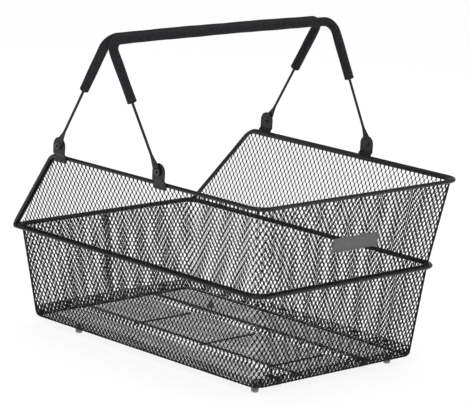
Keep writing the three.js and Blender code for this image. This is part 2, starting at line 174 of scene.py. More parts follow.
def wall_point(share, height, out=0.0):
    """A point of the wall's outer face and its level normal: the hoop's outline stretched to the
    wall's ends and sides at that height, then moved straight out by "out"."""
    plain, normal = rounded_loop(
        share, wall_fronts[1], wall_rears[1], wall_halves[1], corner_radius, corner_radius
    )
    front = np.interp(height, wall_levels, wall_fronts)
    rear = np.interp(height, wall_levels, wall_rears)
    half = np.interp(height, wall_levels, wall_halves)
    along = (plain[..., 0] - wall_fronts[1]) / (wall_rears[1] - wall_fronts[1])
    x = front + (rear - front) * along + normal[..., 0] * out
    y = plain[..., 1] * half / wall_halves[1] + normal[..., 1] * out
    return np.stack([x, y, height + 0 * x], axis=-1), normal


def add_piece(name, points, quads, body, material, nodes=(), smooth=True):
    """A closed mesh object made from an array of points and an array of four-sided faces. The
    signed volume under the faces tells whether they point inward, and then all are turned."""
    points = np.ascontiguousarray(points.reshape(-1, 3), dtype=np.float32)
    quads = np.ascontiguousarray(quads.reshape(-1, 4), dtype=np.int32)
    a, b, c, d = (points[quads[:, k]].astype(float) for k in range(4))
    if np.sum(np.cross(b, c) * a) + np.sum(np.cross(c, d) * a) < 0:
        quads = quads[:, ::-1]
    used, quads = np.unique(quads, return_inverse=True)
    points = points[used]
    quads = quads.reshape(-1, 4).astype(np.int32)
    mesh = bpy.data.meshes.new(name)
    mesh.vertices.add(len(points))
    mesh.vertices.foreach_set("co", points.ravel())
    mesh.loops.add(quads.size)
    mesh.loops.foreach_set("vertex_index", quads.ravel())
    mesh.polygons.add(len(quads))
    mesh.polygons.foreach_set("loop_start", np.arange(len(quads), dtype=np.int32) * 4)
    mesh.polygons.foreach_set("use_smooth", np.full(len(quads), smooth))
    mesh.update(calc_edges=True)
    mesh.validate()
    piece = bpy.data.objects.new(name, mesh)
    scene.collection.objects.link(piece)
    mesh.materials.append(material)
    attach(piece, body)
    if nodes:
        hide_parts(*nodes)
    return piece


def bar_mesh(places, across, outward, width, thickness, kept):
    """Closed bars with a rectangular section, one for each row of places: the four corners lie
    half a width along "across" and half a thickness along "outward" to each side. "kept" says
    which stations belong to each bar, and both ends of a bar are closed by a quad."""
    signs = np.array([[-1, -1], [1, -1], [1, 1], [-1, 1]]) / 2
    corners = places[:, :, None, :] + signs[:, 0, None] * width * across[:, :, None, :]
    corners = corners + signs[:, 1, None] * thickness * outward[:, :, None, :]
    bars, stations = kept.shape
    index = np.arange(bars * stations * 4).reshape(bars, stations, 4)
    now = index[:, :-1]
    after = index[:, 1:]
    sides = np.stack([now, np.roll(now, -1, 2), np.roll(after, -1, 2), after], axis=-1)
    sides = sides[kept[:, :-1] & kept[:, 1:]]
    kept_before = np.pad(kept[:, :-1], ((0, 0), (1, 0)))
    kept_after = np.pad(kept[:, 1:], ((0, 0), (0, 1)))
    starts = index[kept & ~kept_before]
    ends = index[kept & ~kept_after]
    return corners, np.concatenate([sides.reshape(-1, 4), starts[:, ::-1], ends])


def zigzag(bars, first, last):
    """Stations along a bundle of expanded strands from "first" to "last": two stations for each
    bond, half a rise apart, and for each strand how far it leans to the side there. Neighbours
    lean opposite ways, so each strand meets one neighbour at a bond and the other at the next."""
    steps = np.arange(math.floor(first / (bond_rise / 2)), math.ceil(last / (bond_rise / 2)) + 1)
    stations = (steps[:, None] * bond_rise / 2 + np.array([-0.5, 0.5]) * bond_length).ravel()
    lean = np.repeat(1 - 2 * (steps % 2), 2)
    side = 1 - 2 * (np.arange(bars) % 2)
    reach = (bond_pitch / 2 - strand_width + bond_overlap) / 2
    return stations, side[:, None] * lean[None, :] * reach


def trimmed(stations, first, last):
    """The stations of each bar moved onto its own two limits where they lie beyond them, and a
    mask of the stations that are kept: all those between, and one on each limit."""
    clipped = np.clip(stations, first[:, None], last[:, None])
    after_start = np.roll(clipped, -1, 1) > first[:, None]
    before_end = np.roll(clipped, 1, 1) < last[:, None]
    after_start[:, -1] = True
    before_end[:, 0] = True
    return clipped, after_start & before_end


def range_node(tree, value, low, high):
    """The value stretched from its middle range to "low" and "high"."""
    node = tree.nodes.new("ShaderNodeMapRange")
    node.inputs["From Min"].default_value = 0.3
    node.inputs["From Max"].default_value = 0.7
    tree.links.new(value, node.inputs["Value"])
    for socket, end in (("To Min", low), ("To Max", high)):
        if isinstance(end, (int, float)):
            node.inputs[socket].default_value = end
        else:
            tree.links.new(end, node.inputs[socket])
    return node.outputs["Result"]


# One group serves every coated, moulded or foamed surface: broad blotches shift the colour and the
# shine a little, and a fine grain gives the height.
surface_group = bpy.data.node_groups.new("worked_surface", "ShaderNodeTree")
for socket_name, kind in (
    ("Colour", "NodeSocketColor"),
    ("Worn colour", "NodeSocketColor"),
    ("Blotch scale", "NodeSocketFloat"),
    ("Grain scale", "NodeSocketFloat"),
    ("Wear", "NodeSocketFloat"),
    ("Smoothest", "NodeSocketFloat"),
    ("Roughest", "NodeSocketFloat"),
):
    surface_group.interface.new_socket(socket_name, in_out="INPUT", socket_type=kind)
for socket_name, kind in (
    ("Colour", "NodeSocketColor"),
    ("Roughness", "NodeSocketFloat"),
    ("Height", "NodeSocketFloat"),
):
    surface_group.interface.new_socket(socket_name, in_out="OUTPUT", socket_type=kind)
given = surface_group.nodes.new("NodeGroupInput")
result = surface_group.nodes.new("NodeGroupOutput")
place = surface_group.nodes.new("ShaderNodeTexCoord")
blotches = surface_group.nodes.new("ShaderNodeTexNoise")
blotches.inputs["Detail"].default_value = 4
grain = surface_group.nodes.new("ShaderNodeTexNoise")
grain.inputs["Detail"].default_value = 2
for node, socket_name in ((blotches, "Blotch scale"), (grain, "Grain scale")):
    surface_group.links.new(place.outputs["Object"], node.inputs["Vector"])
    surface_group.links.new(given.outputs[socket_name], node.inputs["Scale"])
spread = range_node(surface_group, blotches.outputs["Fac"], 0.0, given.outputs["Wear"])
tint = surface_group.nodes.new("ShaderNodeMix")
tint.data_type = "RGBA"
surface_group.links.new(spread, tint.inputs["Factor"])
surface_group.links.new(given.outputs["Colour"], tint.inputs["A"])
surface_group.links.new(given.outputs["Worn colour"], tint.inputs["B"])
shine = range_node(
    surface_group, blotches.outputs["Fac"], given.outputs["Smoothest"], given.outputs["Roughest"]
)
surface_group.links.new(tint.outputs["Result"], result.inputs["Colour"])
surface_group.links.new(shine, result.inputs["Roughness"])
surface_group.links.new(grain.outputs["Fac"], result.inputs["Height"])


def finish_material(
    name, colour, worn, blotches, grains, wear, roughness, depth, specular=0.25, metallic=0.0
):
    """A material from the shared surface group: its colours, its blotches and grains to the metre,
    how far wear shows, its range of roughness and the depth of its grain in metres."""
    material = bpy.data.materials.new(name)
    material.use_nodes = True
    tree = material.node_tree
    shader = tree.nodes["Principled BSDF"]
    shader.inputs["Metallic"].default_value = metallic
    shader.inputs["Specular IOR Level"].default_value = specular
    group = tree.nodes.new("ShaderNodeGroup")
    group.node_tree = surface_group
    group.inputs["Colour"].default_value = (*colour, 1)
    group.inputs["Worn colour"].default_value = (*worn, 1)
    group.inputs["Blotch scale"].default_value = blotches
    group.inputs["Grain scale"].default_value = grains
    group.inputs["Wear"].default_value = wear
    group.inputs["Smoothest"].default_value = roughness[0]
    group.inputs["Roughest"].default_value = roughness[1]
    relief = tree.nodes.new("ShaderNodeBump")
    relief.inputs["Strength"].default_value = 0.6
    relief.inputs["Distance"].default_value = depth
    tree.links.new(group.outputs["Height"], relief.inputs["Height"])
    tree.links.new(group.outputs["Colour"], shader.inputs["Base Color"])
    tree.links.new(group.outputs["Roughness"], shader.inputs["Roughness"])
    tree.links.new(relief.outputs["Normal"], shader.inputs["Normal"])
    return material


mesh_coat = finish_material(
    "mesh_powder_coat",
    colour=(0.004, 0.004, 0.006),
    worn=(0.013, 0.013, 0.0155),
    blotches=60,
    grains=2400,
    wear=0.5,
    roughness=(0.38, 0.55),
    depth=0.06 * MM,
)

loop_length = 2 * (wall_rears[1] - wall_fronts[1]) + 4 * wall_halves[1]
loop_length = loop_length - (8 - 2 * math.pi) * corner_radius  # the four corners are rounded off
strand_count = 2 * round(loop_length / bond_pitch)
strand_share = (np.arange(strand_count) + 0.5) / strand_count
seam_height = tub_high.z - slot_gap
drop_to_roll = seam_height - (tub_low.z + bottom_roll)
tub_depth = drop_to_roll + bottom_roll * math.pi / 2
tub_stations, tub_lean = zigzag(strand_count, 0, tub_depth)
tub_down, tub_kept = trimmed(
    np.broadcast_to(tub_stations, tub_lean.shape),
    np.zeros(strand_count),
    np.full(strand_count, tub_depth),
)


def tub_surface(share, down):
    """A point of the tub's skin and its outward normal, by the distance down from the seam: first
    straight down the wall, then round a quarter circle under the edge."""
    angle = np.clip((down - drop_to_roll) / bottom_roll, 0, math.pi / 2)
    height = seam_height - np.minimum(down, drop_to_roll) - bottom_roll * np.sin(angle)
    inset = bottom_roll * (1 - np.cos(angle)) + strand_width / 2 * math.sin(strand_tilt)
    point, level = wall_point(share, height, -inset)
    normal = np.concatenate([level * np.cos(angle)[..., None], -np.sin(angle)[..., None]], axis=-1)
    return point, normal, level


def tilted(level, normal):
    """The strand's width and thickness directions: the wall's own, turned by the strand's twist."""
    along = np.stack([-level[..., 1], level[..., 0], 0 * level[..., 0]], axis=-1)
    width = along * math.cos(strand_tilt) + normal * math.sin(strand_tilt)
    depth = normal * math.cos(strand_tilt) - along * math.sin(strand_tilt)
    return width, depth


tub_share = strand_share[:, None] + tub_lean / loop_length
tub_points, tub_normals, tub_level = tub_surface(tub_share, tub_down)
tub_width, tub_thick = tilted(tub_level, tub_normals)
lift = np.array([0, 0, strand_thickness])  # the rolled edge lies level with the floor
tub_points = tub_points + lift * np.clip(tub_down - drop_to_roll, 0, None)[..., None] / bottom_roll
points, quads = bar_mesh(tub_points, tub_width, tub_thick, strand_width, strand_thickness, tub_kept)
lower_mesh = add_piece(
    "lower_mesh", points, quads, "basket", mesh_coat, ["lower_mesh_wall"], smooth=False
)

# ---- Doubled mesh at the foot and at the front joint ----
# The floor's upturned edge lies inside the foot of the walls, and the two ends of the wall's sheet
# lap over each other in the middle of the front, so both places look twice as dense.
upstand_height = 11 * MM
lap_width = 11 * MM
layer_offset = 1.5 * MM
layer_shift = bond_pitch / 2 / loop_length


def inner_layer(name, chosen, first, last):
    """A second layer of the tub's strands just inside the first, half a pitch along from it,
    for the chosen strands and between two distances down from the seam."""
    count = int(np.count_nonzero(chosen))
    stations, lean = zigzag(strand_count, first, last)
    down, kept = trimmed(
        np.broadcast_to(stations, (count, len(stations))),
        np.full(count, first),
        np.full(count, last),
    )
    share = strand_share[chosen, None] + layer_shift + lean[chosen] / loop_length
    points, normals, level = tub_surface(share, down)
    points = points - normals * layer_offset
    width, thick = tilted(level, normals)
    points, quads = bar_mesh(points, width, thick, strand_width, strand_thickness, kept)
    add_piece(name, points, quads, "basket", mesh_coat, smooth=False)


upstand_top = tub_depth - bottom_roll - upstand_height
every_strand = strand_share >= 0
strand_places = wall_point(strand_share, np.full(strand_count, seam_height))[0]
on_lap = (strand_places[:, 0] < 0) & (np.abs(strand_places[:, 1]) < lap_width / 2)
inner_layer("floor_upstand", every_strand, upstand_top, tub_depth)
inner_layer("front_lap", on_lap, 0.0, upstand_top)

# ---- Floor of the tub ----
# The floor is expanded steel too, with its diamonds lying across the basket. Two lengthwise
# grooves are pressed up into it, where it sits on the two rails of a carrier.
groove_offset = 60 * MM
groove_height = 5 * MM
groove_top = 12 * MM
groove_foot = 20 * MM
floor_tilt = math.radians(17)  # the floor's strands are rolled flatter than the wall's
floor_strand_width = 1.6 * MM
floor_strand_thickness = 0.66 * MM
floor_edge = bottom_roll - wall_skin
floor_front = floor_low.x + floor_edge
floor_rear = floor_high.x - floor_edge
floor_half = floor_high.y - floor_edge


def floor_height(y):
    """The height of the floor's skin: flat, with a rounded trapezoid over each carrier rail."""
    beside = np.abs(np.abs(y) - groove_offset)
    share = np.clip((groove_foot / 2 - beside) / (groove_foot / 2 - groove_top / 2), 0, 1)
    return floor_low.z + strand_thickness + groove_height * share * share * (3 - 2 * share)


floor_count = 2 * round((floor_rear - floor_front) / bond_pitch)
floor_x = floor_front + (np.arange(floor_count) + 0.5) * (floor_rear - floor_front) / floor_count
floor_stations, floor_lean = zigzag(floor_count, -floor_half, floor_half)
edge_radius = corner_radius - bottom_roll
from_end = np.minimum(floor_x - floor_front, floor_rear - floor_x)
in_corner = np.clip(edge_radius - from_end, 0, edge_radius)
floor_reach = floor_half - edge_radius + np.sqrt(edge_radius**2 - in_corner**2)
floor_y, floor_kept = trimmed(
    np.broadcast_to(floor_stations, floor_lean.shape), -floor_reach, floor_reach
)
nudge = 0.01 * MM
slope = (floor_height(floor_y + nudge) - floor_height(floor_y - nudge)) / (2 * nudge)
floor_points = np.stack([floor_x[:, None] + floor_lean, floor_y, floor_height(floor_y)], axis=-1)
floor_normals = np.stack([0 * slope, -slope, 1 + 0 * slope], axis=-1)
floor_normals = floor_normals / np.linalg.norm(floor_normals, axis=-1, keepdims=True)
lengthwise = np.zeros_like(floor_points)
lengthwise[..., 0] = 1
floor_width = lengthwise * math.cos(floor_tilt) + floor_normals * math.sin(floor_tilt)
floor_thick = floor_normals * math.cos(floor_tilt) - lengthwise * math.sin(floor_tilt)
points, quads = bar_mesh(
    floor_points, floor_width, floor_thick, floor_strand_width, floor_strand_thickness, floor_kept
)
floor_panel = add_piece(
    "floor_panel", points, quads, "basket", mesh_coat, ["floor_mesh"], smooth=False
)

# ---- Upper wall of expanded steel ----
# A second sheet, flared outward, rises from the middle hoop to the top rim. Its front is cut away
# along a slant on each side, so that the basket slides in under the saddle.
slant_run = 92 * MM
slant_bend = 22 * MM
slant_overhang = 2.8 * MM  # how far the slant's foot stands out in front of the hoop's wall
hem_tuck = 1.5 * MM
rim_height = upper_high.z
hoop_height = band_low.z
slant_foot = wall_fronts[1] - slant_overhang
slant_angle = math.atan2(rim_height - hoop_height, slant_run)
slant_top = slant_foot + slant_run
bend_reach = slant_bend * math.tan(slant_angle / 2)


def edge_height(x, drop=0.0):
    """The height of the top edge over x, lowered by "drop": the level rim, an arc, and the slant."""
    level = rim_height - drop
    foot = slant_foot + drop / math.sin(slant_angle)
    centre = slant_top + drop * math.tan(slant_angle / 2) + bend_reach
    on_slant = hoop_height + (x - foot) * math.tan(slant_angle)
    across = np.clip(centre - x, 0, slant_bend * math.sin(slant_angle))
    on_arc = level - slant_bend + np.sqrt(slant_bend**2 - across**2)
    return np.minimum(np.minimum(on_slant, on_arc), level)


upper_start = seam_height + 2 * slot_gap
half_way_up = np.full(strand_count, (rim_height + hoop_height) / 2)
wall_x = wall_point(strand_share, half_way_up)[0][:, 0]
upper_limit = edge_height(wall_x, hem_tuck)
on_front = wall_x < wall_fronts[1] + corner_radius / 2
upper_limit = np.where(on_front, upper_start, np.maximum(upper_limit, upper_start))
upper_stations, upper_lean = zigzag(strand_count, upper_start, rim_height)
upper_up, upper_kept = trimmed(
    np.broadcast_to(upper_stations, upper_lean.shape),
    np.full(strand_count, upper_start),
    upper_limit,
)
upper_kept = upper_kept & (upper_limit > upper_start + strand_width)[:, None]
upper_share = strand_share[:, None] + upper_lean / loop_length
upper_inset = strand_width / 2 * math.sin(strand_tilt)
upper_points, upper_level = wall_point(upper_share, upper_up, -upper_inset)
upper_normals = np.concatenate([upper_level, 0 * upper_level[..., :1]], axis=-1)
upper_width, upper_thick = tilted(upper_level, upper_normals)
points, quads = bar_mesh(
    upper_points, upper_width, upper_thick, strand_width, strand_thickness, upper_kept
)
upper_mesh = add_piece(
    "upper_mesh", points, quads, "basket", mesh_coat, ["upper_mesh_wall"], smooth=False
)

# ---- Middle hoop: a round wire over a flat band ----
# The seam of the two sheets is clamped behind a rolled flat band, and a 5 mm wire hoop is welded
# round the outside of it as a bumper. Its front corners are tighter, where the rim wire lands.
steel_coat = finish_material(
    "frame_powder_coat",
    colour=(0.0035, 0.0035, 0.005),
    worn=(0.012, 0.012, 0.0145),
    blotches=45,
    grains=1800,
    wear=0.6,
    roughness=(0.2, 0.34),
    depth=0.05 * MM,
    specular=0.35,
)
wire_radius = (hoop_high.z - hoop_low.z) / 2
hoop_middle = (hoop_high.z + hoop_low.z) / 2
hoop_front_radius = 9 * MM
hoop_rear_radius = 22 * MM
band_thickness = 1.4 * MM
band_height = band_high.z - band_low.z
loop_stations = 320
tube_sides = 16


def unit(vectors):
    """The same directions at length one."""
    return vectors / np.linalg.norm(vectors, axis=-1, keepdims=True)


def path_tangents(path, closed):
    """The direction of a path at each point, from the points on both sides of it."""
    if closed:
        return unit(np.roll(path, -1, 0) - np.roll(path, 1, 0))
    return unit(np.gradient(path, axis=0))


def ring_quads(rings, around, joined):
    """The faces between neighbouring rings of "around" points each. Where the last ring is not
    joined to the first, both are closed by a ladder of quads from one half of the ring to the
    other, so "around" is even."""
    ring = np.arange(rings if joined else rings - 1)[:, None]
    point = np.arange(around)[None, :]
    next_ring = (ring + 1) % rings
    next_point = (point + 1) % around
    sides = np.stack([
        ring * around + point,
        ring * around + next_point,
        next_ring * around + next_point,
        next_ring * around + point,
    ], axis=-1).reshape(-1, 4)
    if joined:
        return sides
    rung = np.arange(around // 2 - 1)
    ladder = np.stack([rung, rung + 1, around - 2 - rung, around - 1 - rung], axis=-1)
    return np.concatenate([sides, ladder[:, ::-1], ladder + (rings - 1) * around])


def swept(path, first_axis, section, closed=False, rounding=0.0):
    """A section carried along a path: a point of it lies "first" along the axis given at each
    station and "second" along the tangent's cross product with it. "section" holds (first, second)
    for each point, for all stations or for each. An open sweep closes in an end cap of rings that
    shrink to a point, domed by "rounding"."""
    tangent = path_tangents(path, closed)
    axis = unit(first_axis - tangent * np.sum(first_axis * tangent, axis=-1, keepdims=True))
    other = np.cross(tangent, axis)
    section = np.broadcast_to(section, (len(path), *np.shape(section)[-2:]))
    if not closed:
        caps = np.array([[0.92, 0.42], [0.7, 0.72], [0.38, 0.93], [0.001, 1.0]])[::-1]
        shrink = np.concatenate([caps[:, 0], np.ones(len(path)), caps[::-1, 0]])
        dome = np.concatenate([-caps[:, 1], np.zeros(len(path)), caps[::-1, 1]]) * rounding
        pick = np.pad(np.arange(len(path)), len(caps), mode="edge")
        path, tangent, axis, other = path[pick], tangent[pick], axis[pick], other[pick]
        path = path + tangent * dome[:, None]
        section = section[pick] * shrink[:, None, None]
    points = path[:, None] + section[..., :1] * axis[:, None] + section[..., 1:] * other[:, None]
    return points, ring_quads(points.shape[0], points.shape[1], closed)


def superellipse(half_first, half_second, power, count):
    """Points round a closed section, from an ellipse (power 2) towards a rectangle (high power):
    the cosine and sine of the angle to the power 2 / power, each keeping its sign."""
    angle = np.arange(count) / count * 2 * np.pi
    first = np.sign(np.cos(angle)) * np.abs(np.cos(angle)) ** (2 / power)
    second = np.sign(np.sin(angle)) * np.abs(np.sin(angle)) ** (2 / power)
    return np.stack([first * half_first, second * half_second], axis=-1)


share = np.arange(loop_stations) / loop_stations
hoop_plan = rounded_loop(
    share,
    hoop_low.x + wire_radius,
    hoop_high.x - wire_radius,
    hoop_high.y - wire_radius,
    hoop_front_radius,
    hoop_rear_radius,
)[0]
hoop_path = np.concatenate([hoop_plan, np.full((loop_stations, 1), hoop_middle)], axis=1)
upward = np.array([0.0, 0.0, 1.0])
wire_section = superellipse(wire_radius, wire_radius, 2, tube_sides)
points, quads = swept(hoop_path, upward, wire_section, closed=True)
hoop = add_piece("hoop_wire", points, quads, "basket", steel_coat, ["middle_hoop_wire"])

band_middle = np.full(loop_stations, band_low.z + band_height / 2)
band_path = wall_point(share, band_middle, slot_gap + band_thickness / 2)[0]
band_section = superellipse(band_height / 2, band_thickness / 2, 7, 20)
points, quads = swept(band_path, upward, band_section, closed=True)
band = add_piece("seam_band", points, quads, "basket", steel_coat, ["middle_hoop_band"])

# ---- Top rim: wire and folded hem ----
# The rim is a 5 mm wire that runs round the top and down both slants to the hoop. The upper edge
# of the sheet is folded into a flat hem inside it, which hides the cut ends of the strands.
rim_foot = hoop_high.z + wire_radius
rim_out_low = 7 * MM - wire_radius  # wall face to the middle of the wire, at the hoop
rim_out_high = 5.3 * MM - wire_radius  # and at the rim
slant_foot_radius = 11 * MM
hem_height = 5 * MM
hem_thickness = 2.4 * MM
hem_flare = 2.2 * MM
hem_over_edge = 1.2 * MM
hem_end_round = 0.5 * MM
slant_points = 26
bend_points = 10
side_points = 40
plan_steps = 2400


def edge_path(out_low, out_high, lowest):
    """The line of the top edge from one slant's foot to the other's, as points with level normals:
    up the slant by equal steps, round the bend, along the side and round the rear. The line
    stands off the wall by "out_high" at the rim and by "out_low" at the hoop."""
    bend_start = slant_top + bend_reach - slant_bend * math.sin(slant_angle)
    lowest_x = slant_foot + (lowest - hoop_height) / math.tan(slant_angle)
    up_slant = np.linspace(lowest_x, bend_start, slant_points)[:-1]
    turn = np.linspace(slant_angle, 0, bend_points)[:-1]
    round_bend = slant_top + bend_reach - slant_bend * np.sin(turn)
    along = np.concatenate([up_slant, round_bend])
    height = edge_height(along)
    drop = np.clip((rim_height - height) / (rim_height - hoop_height), 0, 1)
    out = out_high + (out_low - out_high) * drop
    half = np.interp(height, wall_levels, wall_halves) + out
    front = np.interp(height, wall_levels, wall_fronts) - out
    radius = corner_radius + out
    radius = radius + (slant_foot_radius - radius) * drop**2
    inside = np.clip(front + radius - along, 0, radius)
    across = half - radius + np.sqrt(radius**2 - inside**2)
    lean = np.arcsin(inside / radius)
    left = np.stack([along, across, height], axis=-1)
    left_normal = np.stack([-np.sin(lean), np.cos(lean), 0 * lean], axis=-1)
    plan, level = rounded_loop(
        np.linspace(0, 1, plan_steps, endpoint=False),
        wall_fronts[2] - out_high,
        wall_rears[2] + out_high,
        wall_halves[2] + out_high,
        corner_radius + out_high,
        corner_radius + out_high,
    )
    turn_start = slant_top + bend_reach
    order = np.argsort(np.arctan2(plan[:, 1], plan[:, 0]))[::-1]
    plan, level = plan[order], level[order]
    kept = plan[:, 0] > turn_start
    plan, level = plan[kept], level[kept]
    runs = np.append(0, np.cumsum(np.hypot(*np.diff(plan, axis=0).T)))
    at = np.linspace(0, runs[-1], 4 * side_points)
    plan = np.stack([np.interp(at, runs, plan[:, k]) for k in (0, 1)], axis=-1)
    level = unit(np.stack([np.interp(at, runs, level[:, k]) for k in (0, 1)], axis=-1))
    top = np.append(plan, np.full((len(plan), 1), rim_height), axis=1)
    top_normal = np.append(level, np.zeros((len(plan), 1)), axis=1)
    mirror = np.array([1, -1, 1])
    path = np.concatenate([left, top, (left * mirror)[::-1]])
    normals = np.concatenate([left_normal, top_normal, (left_normal * mirror)[::-1]])
    return path, normals


rim_path, rim_normals = edge_path(rim_out_low, rim_out_high, rim_foot)
points, quads = swept(rim_path, rim_normals, wire_section, rounding=wire_radius)
rim = add_piece("rim_wire", points, quads, "basket", steel_coat, ["top_rim_wire"])

hem_path, hem_normals = edge_path(hem_flare, 0.0, band_high.z)
hem_tangent = path_tangents(hem_path, False)
into_wall = unit(np.cross(hem_normals, hem_tangent))
into_wall = into_wall * np.sign(np.sum(into_wall * [0, 0, -1], axis=-1) + 1e-9)[:, None]
hem_path = hem_path + into_wall * (hem_height / 2 - hem_over_edge) - hem_normals * (wall_skin / 2)
hem_section = superellipse(hem_thickness / 2, hem_height / 2, 5, 20)
points, quads = swept(hem_path, hem_normals, hem_section, rounding=hem_end_round)
hem = add_piece("rim_hem", points, quads, "basket", steel_coat, ["top_rim_hem"])

# ---- Wires under the floor ----
# Three short round steel wires lie across the flat strip between the grooves. They are cut with
# slightly domed ends, and are welded to the floor to stiffen it.
cross_wire_dome = 1 * MM
for end in ("front", "middle", "rear"):
    low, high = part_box(f"floor_cross_wire_{end}")
    across = np.linspace(low.y + cross_wire_dome, high.y - cross_wire_dome, 12)
    middle = np.full_like(across, (low.x + high.x) / 2)
    radius = (high.z - low.z) / 2
    path = np.stack([middle, across, np.full_like(across, high.z - radius)], axis=-1)
    section = superellipse(radius, radius, 2, 12)
    points, quads = swept(path, upward, section, rounding=cross_wire_dome)
    node = f"floor_cross_wire_{end}"
    wire = add_piece(f"cross_wire_{end}", points, quads, "basket", steel_coat, [node])

# ---- Weld beads ----
# Small smooth beads of weld steel join the rim wire's feet to the hoop, and the ends of the short
# wires to the floor. They are under the same black coat as the wires.
bead_rings = 9
bead_sides = 14
rim_bead = (3.4 * MM, 3.0 * MM, 1.6 * MM)
rim_bead_lift = 0.6 * MM
wire_bead = (1.9 * MM, 2.1 * MM, 1.1 * MM)
wire_bead_inset = 2.2 * MM
wire_bead_drop = 0.4 * MM


def weld_bead(name, centre, half_sizes):
    """A squat bead: the cosine of the rise gives each ring's reach, swollen twice round by a
    twelfth, and the sine its height; all are scaled to the half sizes along X, Y and Z."""
    rise = np.linspace(-math.pi / 2 + 1e-3, math.pi / 2 - 1e-3, bead_rings)[:, None]
    turn = (np.arange(bead_sides) / bead_sides * 2 * np.pi)[None, :]
    swell = 1 + 0.08 * np.cos(2 * turn)
    ball = np.stack([
        np.cos(rise) * np.cos(turn) * swell,
        np.cos(rise) * np.sin(turn) * swell,
        np.sin(rise) + 0 * turn,
    ], axis=-1)
    points = np.array(centre) + ball * np.array(half_sizes)
    quads = ring_quads(bead_rings, bead_sides, False)
    add_piece(name, points, quads, "basket", steel_coat)


foot_point = rim_path[0]
for side, sign in (("left", 1), ("right", -1)):
    place = (foot_point[0], sign * foot_point[1], hoop_high.z + rim_bead_lift)
    weld_bead(f"rim_weld_{side}", place, rim_bead)
for end in ("front", "middle", "rear"):
    low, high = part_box(f"floor_cross_wire_{end}")
    for side, y in (("left", high.y - wire_bead_inset), ("right", low.y + wire_bead_inset)):
        place = ((low.x + high.x) / 2, y, high.z - wire_bead_drop)
        weld_bead(f"cross_wire_{end}_weld_{side}", place, wire_bead)

# ---- Feet and carrier hooks ----
# Four turned rubber feet are pressed up into the floor, and two steel strips bent into hooks
# reach under the cross rail of a carrier.
foot_rubber = finish_material(
    "foot_rubber",
    colour=(0.17, 0.17, 0.175),
    worn=(0.3, 0.3, 0.305),
    blotches=240,
    grains=3000,
    wear=0.7,
    roughness=(0.35, 0.5),
    depth=0.06 * MM,
    specular=0.5,
)
foot_slack = 0.8 * MM
foot_height = 5.2 * MM
foot_neck = 6.4 * MM
foot_edge = 0.4 * MM


def turned(profile, sides):
    """A profile of (radius, height) points turned round the Z axis, with flat closed ends."""
    angle = np.arange(sides) / sides * 2 * np.pi
    radius = profile[:, :1]
    height = profile[:, 1:] + 0 * angle
    points = np.stack([np.cos(angle) * radius, np.sin(angle) * radius, height], axis=-1)
    return points, ring_quads(len(profile), sides, False)


for corner in ("front_left", "front_right", "rear_left", "rear_right"):
    low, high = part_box(f"foot_{corner}")
    radius = (high.x - low.x) / 2 - foot_slack
    angle = np.linspace(-math.pi / 2, 0, 9)
    tip = 0.55 * radius
    dome = np.stack([np.cos(angle), np.sin(angle)], axis=-1) * tip + [radius - tip, low.z + tip]
    neck = [[radius, low.z + foot_height], [0.6 * radius, low.z + foot_neck]]
    top = [[0.6 * radius, high.z - foot_edge], [0.55 * radius, high.z]]
    profile = np.concatenate([dome, neck, top])
    points, quads = turned(profile, 28)
    points = points + np.array([(low.x + high.x) / 2, (low.y + high.y) / 2, 0])
    node = f"foot_{corner}"
    foot = add_piece(f"rubber_foot_{corner}", points, quads, "basket", foot_rubber, [node])

hook_thickness = 2 * MM
hook_lip = 7 * MM
hook_bend = 2.2 * MM
hook_end_round = 0.4 * MM
hook_quarter = np.linspace(0, math.pi / 2, 7)
hook_turn = hook_bend * np.stack([np.sin(hook_quarter), np.cos(hook_quarter)], axis=-1)
for side in ("left", "right"):
    low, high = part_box(f"carrier_hook_{side}")
    half = hook_thickness / 2
    plate_z = high.z - half
    web_x = high.x - half
    lip_z = low.z + half
    upper_bend = hook_turn + [web_x - hook_bend, plate_z - hook_bend]
    lower_bend = (hook_turn * [1, -1])[::-1] + [web_x - hook_bend, lip_z + hook_bend]
    plan = np.concatenate([
        [[low.x + half, plate_z], [(low.x + web_x) / 2, plate_z]],
        upper_bend,
        lower_bend,
        [[high.x - hook_lip + half, lip_z]],
    ])
    path = np.stack([plan[:, 0], np.full(len(plan), (low.y + high.y) / 2), plan[:, 1]], axis=-1)
    width = (high.y - low.y) / 2
    section = superellipse(width, half, 6, 20)
    points, quads = swept(path, np.array([0.0, 1.0, 0.0]), section, rounding=hook_end_round)
    node = f"carrier_hook_{side}"
    hook = add_piece(f"strip_hook_{side}", points, quads, "basket", steel_coat, [node])

# ---- Lugs on the rim ----
# Each handle leg hangs on a pressed 2 mm lug. Its foot is welded over the rim wire, and above the
# wire it steps outward into an upright eye for the rivet.
joints = frame["record"]["behaviour"]["joints"]
pivots = {joint["child"]: Vector(joint["pos_m"]) for joint in joints}
rivet_shank = 5.2 * MM
rivet_hole = rivet_shank / 2 + slot_gap
lug_thickness = 2 * MM
lug_jog = 3 * MM
plate_rings = 26
plate_turns = 72


def eyed_plate(reach_at, thickness, step_low=0.0, step_out=0.0):
    """A plate with a round eye for the rivet, as rings from the eye to its edge on both faces:
    "reach_at" is the distance from the eye's centre to the edge by angle. Above "step_low" the
    plate steps outward smoothly by "step_out". Points are (along, out, up) from the eye."""
    angle = np.arange(plate_turns) / plate_turns * 2 * np.pi
    share = np.linspace(0, 1, plate_rings)
    reach = rivet_hole + (reach_at(angle)[:, None] - rivet_hole) * share
    along = np.cos(angle)[:, None] * reach
    up = np.sin(angle)[:, None] * reach
    half = np.full(plate_rings, thickness / 2)
    half[[0, -1]] = thickness / 4  # the cut edges are broken
    rise = np.clip((up - step_low) / lug_jog, 0, 1)
    out = step_out * rise * rise * (3 - 2 * rise)
    front = np.stack([along, out + half, up], axis=-1)
    back = np.stack([along, out - half, up], axis=-1)[:, ::-1]
    return np.concatenate([front, back], axis=1), ring_quads(plate_turns, 2 * plate_rings, True)


